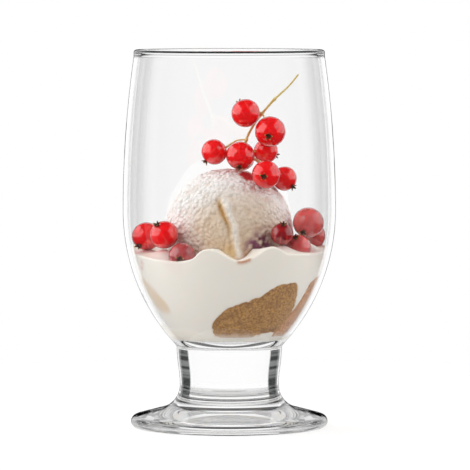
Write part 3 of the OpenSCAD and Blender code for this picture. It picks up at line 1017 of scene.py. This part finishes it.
def make_currant(name, node, body, skin):
    """A ball and its dried flower as one piece. Gives the ball's centre and radius."""
    centre, radius, way = measured(node)
    shells = []
    pale = []
    for (local, marks), slot in ((currant_ball(radius), 0), (sepal_cup(FLOWER_FOOT * radius), 1)):
        ends = placed(np.stack([local[0].mean(0), local[-1].mean(0)]), centre, way)
        shells.append(shell(placed(local, centre, way), ends[0], ends[1], (slot,) * 3))
        pale += [marks.ravel(), np.zeros(2)]
    made = make_piece(name, shells, [skin, flower], {"pale": np.concatenate(pale)})
    stand_for(made, node, body)
    return centre, radius


SKINS = {
    "left_currant_3": dusky,
    "right_currant_1": milky,
    "right_currant_2": milky,
    "right_currant_3": shaded_ripe,
    "right_currant_4": milky,
}
berries = {}
for body, nodes in frame["record"]["behaviour"]["bodies"].items():
    for node in nodes:
        if "currant_" in node and node != "currant_stalk":
            skin = SKINS.get(node, ripe)
            berries[node] = make_currant(node.replace("currant", "berry"), node, body, skin)

# %% [markdown]
# ## The stalk
# The strig of a currant is a thin straw-yellow stalk with a small knot wherever a berry hung. It is a
# circle carried along a curve, a little thicker at each knot, and each berry has its own short stalk.

# %% Stalk finish


def woody_stalk():
    """Straw yellow, paler in patches about 5 mm long."""
    made, tree = new_material("currant_strig")
    spot = add(tree, "TexCoord").outputs["Object"]
    patch = add(tree, "TexNoise", {"Vector": spot, "Scale": 1 / (5 * MM), "Detail": 2.0})
    share = add(tree, "MapRange", {"Value": patch, "From Min": 0.35, "From Max": 0.65})
    tint = add(tree, "MixRGB", {"Fac": share, "Color1": "#d8be66", "Color2": "#f6e8a8"})
    body = add(tree, "BsdfPrincipled", {"Base Color": tint, "Roughness": 0.55})
    add(tree, "OutputMaterial", {"Surface": body})
    return made


strig = woody_stalk()
print("finish:", strig.name)

# %% Stalk shape
STALK_R = 0.45
# Share that the stalk loses towards its free end, and the spans over which it does
TAPER = 0.35
TAPER_SPANS = (5, 8)
STALK_MM = [
    (15.5, -5, 91.4), (10.5, -3.5, 92.8), (6.4, 1, 96.4), (6, 1.5, 100.5), (8.5, 1.8, 105.5),
    (11.4, 1.5, 109.5), (15.8, 1.2, 114.6), (20.4, 1.6, 118.8), (24.2, 1.4, 123.3),
]
KNOT_SPANS = [1, 3, 5, 6]
KNOT_W = 0.1
KNOT_BULGE = 0.55
# The point of STALK_MM at which each berry's own short stalk starts
GRAFTS = [5, 5, 3, 3, 2, 0, 0, 2]
PEDICEL_R = 0.3
PEDICEL_BOW = 0.08
PEDICEL_FLARE = 0.5
# A short stalk ends at this share of the berry's radius, inside the dimple
PEDICEL_END = 0.97


def tube(line, radius, around=14):
    """A circle of the given radius carried along the line, square to its direction: side is the direction
    crossed with an axis close to Y, and the third axis is their cross product."""
    way = unit(np.gradient(line, axis=0))
    side = unit(np.cross(way, (0.05, 1, 0.02)))
    other = np.cross(way, side)
    a = np.linspace(0, 2 * np.pi, around, endpoint=False)[None, :, None]
    rings = line[:, None] + radius[:, None, None] * (np.cos(a) * other[:, None] + np.sin(a) * side[:, None])
    return shell(rings[:, ::-1], line[0], line[-1])


stalk_line = curve(STALK_MM, 160, False)
span = np.linspace(0, len(STALK_MM) - 1, 160)
knots = sum(bell(span, knot, KNOT_W) for knot in KNOT_SPANS)
stalk_r = STALK_R * (1 - TAPER * smooth(*TAPER_SPANS, span)) * (1 + KNOT_BULGE * knots)
stalk_shells = [tube(stalk_line, stalk_r)]
for i, knot in enumerate(GRAFTS):
    centre, radius = berries[f"sprig_currant_{i + 1}"]
    start = np.array(STALK_MM[knot], float)
    reach = centre - start
    stop = centre - unit(reach) * radius * PEDICEL_END
    bend = (start + stop) / 2 + (0, 0, PEDICEL_BOW * np.linalg.norm(reach))
    line = curve([start, bend, stop], 24, False)
    flare = 1 + PEDICEL_FLARE * smooth(0.75, 1, np.linspace(0, 1, 24))
    stalk_shells.append(tube(line, PEDICEL_R * flare, 10))
stalk = make_piece("currant_strig", stalk_shells, [strig])
stand_for(stalk, "currant_stalk", "sprig")

# %% [markdown]
# ## The ice cream
# A scoop is rolled, so its skin is torn into fine grains, and where the roll closed a crack runs down its
# front with a smooth lip on its right. It is a ball whose radius grows and shrinks with the grains, the
# crack and its lip, and colour follows the same fields as attributes.

# %% Ice cream finish
# Colours laid over the scoop by its attributes. The first is a painted rim light away from the front, the
# second painted shade in the hollows of the grain
SCOOP_LAYERS = {
    "painted_rim_light": "#fbf7f3",
    "painted_shade": "#d2b08a",
    "melt": "#e2b25c",
    "juice": "#8e4c68",
    "red": "#d2101c",
    "lip": "#faf4ea",
    "syrup": "#b36a34",
}


def ice_cream():
    """Frozen vanilla cream: fine matt grain 1.5 mm wide, white away from the front as a painted rim light,
    painted shade in the hollows of its grain and in a spot at the front right, custard yellow in the crack,
    red and purple where juice ran, and caramel where it melts on the cream."""
    made, tree = new_material("vanilla_ice_cream")
    spot = add(tree, "TexCoord").outputs["Object"]
    grain = add(tree, "TexVoronoi", {"Vector": spot, "Scale": 1 / (1.5 * MM)})
    cloud = add(tree, "TexNoise", {"Vector": spot, "Scale": 1 / (9 * MM), "Detail": 2.0})
    shade = add(tree, "MapRange", {"Value": cloud, "From Min": 0.35, "From Max": 0.65})
    tint = add(tree, "MixRGB", {"Fac": shade, "Color1": "#eed8c0", "Color2": "#f2e2d2"})
    for key, code in SCOOP_LAYERS.items():
        share = add(tree, "Attribute", attribute_name=key).outputs["Fac"]
        tint = add(tree, "MixRGB", {"Fac": share, "Color1": tint, "Color2": code})
    bump = add(tree, "Bump", {"Height": grain, "Strength": 1.0, "Distance": -1.0 * MM})
    body = add(tree, "BsdfPrincipled", {"Base Color": tint, "Roughness": 0.6, "Normal": bump})
    add(tree, "OutputMaterial", {"Surface": body})
    return made


vanilla = ice_cream()
print("finish:", vanilla.name, "with", len(SCOOP_LAYERS), "layers of colour")

# %% Places on the scoop
scoop_low, scoop_high = corners("ice_cream_scoop")
scoop_c = (scoop_low + scoop_high) / 2
scoop_r = (scoop_high[2] - scoop_low[2]) / 2

t = np.linspace(0.01, math.pi - 0.01, 240)[:, None]
a = np.linspace(0, 2 * np.pi, 360, endpoint=False)
ways = np.stack([np.sin(t) * np.sin(a), -np.sin(t) * np.cos(a), -np.cos(t) + 0 * a], -1)
ball = scoop_c + scoop_r * ways


def bearing(azimuth, elevation):
    """Unit direction at an azimuth from the front and an elevation, both in degrees."""
    a, e = np.radians(azimuth), np.radians(elevation)
    return np.array([math.cos(e) * math.sin(a), -math.cos(e) * math.cos(a), math.sin(e)])


def spots(places):
    """Soft spots on the scoop, each with an azimuth, an elevation, a width w and a strength: the sum of
    strength * exp(-(d / w)^2), with d the distance along the ball in millimetres."""
    total = np.zeros(ways.shape[:2])
    for azimuth, elevation, width, strength in places:
        gap = scoop_r * np.arccos(np.clip(ways @ bearing(azimuth, elevation), -1, 1))
        total += strength * bell(gap, 0, width)
    return total


print(f"scoop {2 * scoop_r:.1f} mm across, its middle {scoop_c[2]:.1f} mm up")

# %% Crack, lip and grain of the scoop
# Azimuth and elevation of the crack's two ends, in degrees
CRACK_TOP = (-12, 36)
CRACK_END = (10, -25)
# Drops at the lower end of the lip: azimuth, elevation, width and strength
DRIP = [(9, -19, 2.6, 1.0), (0, -19, 2.4, 0.8), (17, -21, 1.8, 0.4)]
# Direction in which the roll stretched the grains, and their width, seed and height
GRAIN_WAY = (0.55, 0.2, 0.81)
STRETCH = 0.3
GRAINS = [(1.6, 22, 0.26), (0.9, 23, 0.12)]
# Heights over the ball of its middle skin, the crack, the lip, the drops and the broad lumps
SKIN_H = -0.3
CRACK_H = -1.5
LIP_H = 1.1
DRIP_H = 2.0
LUMP_H = 0.35

# aside is the distance from the crack's line in millimetres, and along is the share of its length. The
# crack narrows and closes along it, and its lip swings beside it and is broadest at both ends
crack_from, crack_to = bearing(*CRACK_TOP), bearing(*CRACK_END)
across = unit(np.cross(crack_from, crack_to))
aside = scoop_r * np.arcsin(np.clip(ways @ across, -1, 1)) + 0.6 * lumps(ball, 4, 21)
along = np.arctan2(ways @ np.cross(across, crack_from), ways @ crack_from) / math.acos(crack_from @ crack_to)
in_crack = smooth(-0.03, 0.08, along) * smooth(1.08, 0.98, along)
narrow = 1 - 0.5 * np.clip(along, 0, 1)
crack = bell(aside, 0.3 - 0.5 * along, 0.9 * narrow) * in_crack * smooth(0.75, 0.2, along)
lip_at = 2.2 - 0.6 * along + 0.35 * np.sin(6 * along)
lip_w = 0.9 + 0.6 * bell(along, 0.08, 0.15) + 0.5 * bell(along, 1, 0.25)
lip = bell(aside, lip_at, lip_w) * in_crack
drip = spots(DRIP)
grain_way = unit(np.array(GRAIN_WAY))
stretched = ball - STRETCH * (ball @ grain_way)[..., None] * grain_way
grain = sum(high * lumps(stretched, width, seed) for width, seed, high in GRAINS)
grain = grain * (1 - 0.85 * np.clip(lip + drip, 0, 1))
bulk = SKIN_H + CRACK_H * crack + LIP_H * lip + DRIP_H * drip + LUMP_H * lumps(ball, 8, 24)
scoop_rings = scoop_c + (scoop_r + grain + bulk)[..., None] * ways
print(f"skin from {(grain + bulk).min():.1f} to {(grain + bulk).max():.1f} mm off the ball")

# %% Colours of the scoop
# Spots of painted shade, melt, juice, red stain and syrup: azimuth, elevation, width and strength
PAINTED_SHADE_SPOTS = [(20, 14, 9, 0.2)]
MELTED = [(5, -15, 4, 0.8), (-8, -12, 9, 0.2)]
JUICE_RUN = [(30, -9, 4.8, 1.3), (24, -12, 4, 0.9)]
JUICE_BLUSH = [(-42, -12, 5, 0.15)]
RED_STAIN = [(45, 64, 4.4, 1.0)]
SYRUP_DROPS = [(17, -17, 1.8, 0.9), (11, -18, 1.5, 0.6)]
# The painted rim light grows in this direction, away from the front
RIM_LIGHT_WAY = (-0.15, 1, 0.25)

speckle = smooth(-0.7, 0.4, lumps(ball, 1.2, 25))
fields = {
    # Painted rim light: whiter everywhere but the front, where backlight would fall
    "painted_rim_light": smooth(-0.85, -0.35, ways @ np.array(RIM_LIGHT_WAY)),
    # Painted shade: darker in the hollows of the grain and in a broad spot at the front right
    "painted_shade": 0.35 * smooth(0.02, -0.3, grain) + spots(PAINTED_SHADE_SPOTS),
    "melt": 0.9 * crack + spots(MELTED),
    "juice": speckle * spots(JUICE_RUN) + spots(JUICE_BLUSH),
    "red": smooth(0.35, 0.65, spots(RED_STAIN) + 0.12 * lumps(ball, 2, 26)),
    "lip": 0.9 * lip + 0.3 * drip,
    "syrup": spots(SYRUP_DROPS),
}
fields = {key: np.append(np.clip(values, 0, 1).ravel(), (0, 0)) for key, values in fields.items()}
scoop = make_piece("vanilla_scoop", [
    shell(scoop_rings, scoop_rings[0].mean(0), scoop_rings[-1].mean(0)),
], [vanilla], fields)
stand_for(scoop, "ice_cream_scoop", "scoop")

# %% [markdown]
# ## The cream
# Soft whipped cream was spooned in until it lay against the glass, and the scoop pressed a bed into it.
# The surface runs from the middle of the dish up the wall, over the soft edge, across the top to the
# scoop and down into the bed, so one closed skin has all of it.

# %% Cream finish
CREAM_LAYERS = {"under": "#ffffff", "crumb": "#d9b585", "juice": "#e0838c", "syrup": "#b9713a"}


def whipped_cream():
    """Smooth white fat foam: light goes a little way in, and it is nearly matt. Its tint changes in clouds
    16 mm wide."""
    made, tree = new_material("whipped_cream")
    spot = add(tree, "TexCoord").outputs["Object"]
    cloud = add(tree, "TexNoise", {"Vector": spot, "Scale": 1 / (16 * MM), "Detail": 2.0})
    tint = add(tree, "MixRGB", {"Fac": cloud, "Color1": "#f1eade", "Color2": "#f5f0e7"})
    for key, code in CREAM_LAYERS.items():
        share = add(tree, "Attribute", attribute_name=key).outputs["Fac"]
        tint = add(tree, "MixRGB", {"Fac": share, "Color1": tint, "Color2": code})
    body = add(tree, "BsdfPrincipled", {
        "Base Color": tint,
        "Roughness": 0.45,
        "Subsurface Weight": 0.3,
        "Subsurface Radius": (1.0, 0.8, 0.6),
        "Subsurface Scale": 2.0 * MM,
    })
    add(tree, "OutputMaterial", {"Surface": body})
    return made


foam = whipped_cream()
print("finish:", foam.name, "with", len(CREAM_LAYERS), "layers of colour")

# %% Edge of the cream round the glass
# Azimuth and height of the cream's upper edge on the wall
CREST = [
    (-180, 64), (-140, 62), (-98, 64), (-80, 61.5), (-65, 61.5), (-48, 60.5), (-35, 59.9), (-28.5, 60.1),
    (-23, 60.8), (-20.5, 61.2), (-18.5, 63.2), (-14.5, 64.4), (-9, 64.5), (-3, 62.6), (2, 60.9), (7, 60.2),
    (11, 61.2), (16, 62.2), (20, 64.2), (26, 65.5), (31, 64.2), (35, 62.6), (49, 62.4), (62, 62.3),
    (97, 63.5), (140, 62.5),
]
CREST_BLUR = 1.6
CREAM_AROUND = 400


def around_glass(table, azimuth, blur):
    """Heights at these azimuths from a few given ones: straight lines between them, then a bell-shaped
    average over blur degrees, which weakens the short waves round the circle."""
    where, what = np.array(sorted(table), float).T
    line = np.interp(azimuth, where, what, period=360)
    wave = np.fft.rfftfreq(len(azimuth), 1 / len(azimuth))
    return np.fft.irfft(np.fft.rfft(line) * np.exp(-((wave * math.radians(blur)) ** 2) / 2), len(azimuth))


azimuth = np.linspace(-180, 180, CREAM_AROUND, endpoint=False)
side = np.radians(azimuth)
crest = around_glass(CREST, azimuth, CREST_BLUR)
print(f"the cream's edge runs from {crest.min():.1f} to {crest.max():.1f} mm up")

# %% Cream in the dish and on the wall
# The soft edge of the cream is a quarter circle of this radius
LIP = 0.7
# Radius at which an azimuth is counted in millimetres
MIDDLE_R = 30
# Lumps that fray the cream round a slice: width, seed and strength. It gives way to a slice over these
# depths inside its outline, and overlaps the slice's inner face
CREAM_FRAYED = [(1.3, 41, 0.4), (0.8, 42, 0.3)]
GIVE_WAY = (0.1, 1.3)
OVERLAP = 0.2
# How far the upper edge of the wet bend wavers
WAVER = 2.5


def depth_in(outline, azimuth, z):
    """Millimetres that a place on the wall lies inside a star-shaped outline, below zero outside it: the
    outline's reach from its middle in that direction, less the place's own."""
    rim, middle = star(outline)
    stretch = np.array([math.radians(1) * MIDDLE_R, 1])
    spoke = (rim - middle) * stretch
    order = np.argsort(np.arctan2(spoke[:, 1], spoke[:, 0]))
    turn, reach = np.arctan2(spoke[order, 1], spoke[order, 0]), np.linalg.norm(spoke[order], axis=1)
    gap = np.stack(np.broadcast_arrays(azimuth - middle[0], z - middle[1]), -1) * stretch
    bound = np.interp(np.arctan2(gap[..., 1], gap[..., 0]), turn, reach, period=2 * np.pi)
    return bound - np.linalg.norm(gap, axis=-1)


shore = crest - LIP
bend_turn = np.radians(np.linspace(dish_turn, floor_turn, 14)[:-1])
bend_r = FLOOR_FILLET - clearance(floor_y + FLOOR_FILLET * np.sin(bend_turn))
floor_part = np.vstack([
    arc(dish_c, DISH_R - WALL_GAP, -90, dish_turn, 32)[1:-1],
    np.stack([floor_x + bend_r * np.cos(bend_turn), floor_y + bend_r * np.sin(bend_turn)], 1),
])
floor_rings = np.roll(turned(floor_part, CREAM_AROUND), CREAM_AROUND // 2, 1)
rise = np.linspace(0, 1, 130)[:, None]
wall_z = turn_z + rise * (shore - turn_z)
around_z = azimuth + 0 * wall_z
flat = on_wall(around_z, wall_z, WALL)
frayed = sum(strength * lumps(flat, width, seed) for width, seed, strength in CREAM_FRAYED)
deep = np.maximum(depth_in(front_slice, azimuth, wall_z), depth_in(right_slice, azimuth, wall_z)) + frayed
film = clearance(wall_z + WAVER * lumps(flat, 5, 43))
wall_rings = on_wall(around_z, wall_z, WALL + film + (SLICE_T - OVERLAP) * smooth(*GIVE_WAY, deep))
print(len(floor_rings), "rings in the dish and", len(wall_rings), "on the wall")

# %% Top of the cream and the scoop's bed
# Gap between the scoop and its bed, and how far the bed's edge lies below the crest and the scoop's middle
BED_GAP = 0.05
CREST_DROP = 0.6
MIDDLE_DROP = 4
# The cream humps up to each loose berry: its height at most, its width, and how far up the berry it goes
HUMP_H = 2.6
HUMP_W = 4.5
HUMP_UP = 0.5

# The top runs over the soft edge and sinks by a smooth step to the line where the scoop touches it. From
# there the bed is a ball, down to its lowest point
contact = np.minimum(crest - CREST_DROP, scoop_c[2] - MIDDLE_DROP)
pocket_r = scoop_r + BED_GAP
ring_r = np.sqrt(pocket_r**2 - (scoop_c[2] - contact) ** 2)
over = np.radians(np.linspace(0, 90, 9)[1:, None])
lip_r = wall_r(shore, WALL + clearance(shore)) - LIP * (1 - np.cos(over))
lip_z = shore + LIP * np.sin(over)
s = np.linspace(0, 1, 40)[1:, None]
top_r = np.vstack([lip_r, lip_r[-1] + (ring_r - lip_r[-1]) * s])
top_z = np.vstack([lip_z, crest + (contact - crest) * smooth(0, 1, s)])
top_rings = np.stack([top_r * np.sin(side), -top_r * np.cos(side), top_z], -1)
free = np.concatenate([np.zeros(len(over)), np.sin(np.pi * s[:, 0])])[:, None]
top_rings[..., 2] += 0.5 * lumps(top_rings, 5, 31) * free
for node, (centre, radius) in berries.items():
    if not node.startswith("sprig"):
        gap = np.linalg.norm(top_rings[..., :2] - centre[:2], axis=-1)
        lift = np.clip(centre[2] - radius + HUMP_UP - top_rings[..., 2], 0, HUMP_H)
        top_rings[..., 2] += lift * bell(gap, 0, HUMP_W) * free

dip = np.arccos((scoop_c[2] - contact) / pocket_r) * np.linspace(1, 0.03, 26)[1:, None]
bed_rings = scoop_c + pocket_r * np.stack([
    np.sin(dip) * np.sin(side),
    -np.sin(dip) * np.cos(side),
    -np.cos(dip),
], -1)
cream_rings = np.concatenate([floor_rings, wall_rings, top_rings, bed_rings])
print(len(cream_rings), "rings in all, and a bed of", len(bed_rings))

# %% [markdown]
# ## Stains in the cream
# Juice seeps from each loose berry into the cream round it, the hidden slice and the crumbs at the edge of
# the others shine through, and a little caramel lies under the scoop. Each is a field of values from 0 to
# 1 on the mesh, because it follows the pieces and not a pattern.

# %% Juice and crumbs in the cream
# Strength of the juice round the left berries and round the others, and how far it seeps
JUICE = {"left_currant_1": 0.5, "left_currant_2": 0.55, "left_currant_3": 0.15}
RIGHT_JUICE = 0.4
SEEP = 1.8
# Points of the picture where juice and caramel lie on the wall
STAINS_PX = [(144, 262), (144, 267), (321, 257), (322, 262), (320, 266)]
SYRUP_PX = [(239.5, 261.5), (242.5, 261.5), (245.5, 260.8), (248.5, 259.5)]
STAIN_R = 0.8
STAIN = 0.6
# Strength of the hidden slice and of the crumbs round the other two
VEILED = 0.6
CRUMBS = 0.5

stain = np.zeros(cream_rings.shape[:2])
for node, (centre, radius) in berries.items():
    if not node.startswith("sprig"):
        gap = np.maximum(np.linalg.norm(cream_rings - centre, axis=-1) - radius, 0)
        stain = np.maximum(stain, JUICE.get(node, RIGHT_JUICE) * bell(gap, 0, SEEP))
for place in sighted(STAINS_PX):
    gap = np.linalg.norm(cream_rings - on_wall(*place, WALL), axis=-1)
    stain = np.maximum(stain, STAIN * bell(gap, 0, STAIN_R))
crumbs = np.zeros(cream_rings.shape[:2])
veiled = smooth(-0.8, 2.5, depth_in(left_slice, azimuth, wall_z))
on_side = slice(len(floor_rings), len(floor_rings) + len(wall_rings))
crumbs[on_side] = np.maximum(VEILED * veiled, CRUMBS * smooth(-0.7, 0.2, deep))
syrup = np.zeros(cream_rings.shape[:2])
for place in sighted(SYRUP_PX):
    gap = np.linalg.norm(cream_rings - on_wall(*place, WALL), axis=-1)
    syrup = np.maximum(syrup, bell(gap, 0, STAIN_R))
under = smooth(dish_z + 0.4, dish_z - 0.4, cream_rings[..., 2])
fields = {"juice": stain, "crumb": crumbs, "syrup": syrup, "under": under}
fields = {key: np.append(values.ravel(), (0, 0)) for key, values in fields.items()}
cream = make_piece("cream_filling", [
    shell(cream_rings, (0, 0, floor_z + WALL_GAP), cream_rings[-1].mean(0)),
], [foam], fields)
stand_for(cream, "cream", "glass")

# %% [markdown]
# ## Light paths
# The lamps are linked to the pieces that they light. A ray may cross both walls of the bowl, a currant and
# the stem before it reaches the white ground, so it gets enough bounces. Lamps light the dessert straight
# through the glass, so caustics stay off.

# %% What the lamps light
for piece in scene.objects:
    if piece.type == "MESH" and not piece.name.startswith("glass"):
        food.objects.link(piece)
    if "berry" in piece.name:
        fruit.objects.link(piece)

# %% Render settings that belong to the look
scene.view_settings.view_transform = "Standard"
scene.cycles.max_bounces = 24
scene.cycles.transmission_bounces = 24
scene.cycles.glossy_bounces = 12
scene.cycles.transparent_max_bounces = 24
scene.cycles.caustics_reflective = False
scene.cycles.caustics_refractive = False
print("a ray may turn", scene.cycles.max_bounces, "times")

# %% [markdown]
# ## The end
# The dressed object has to stay inside the box of the CAD model.

# %% Finish
print("finished")
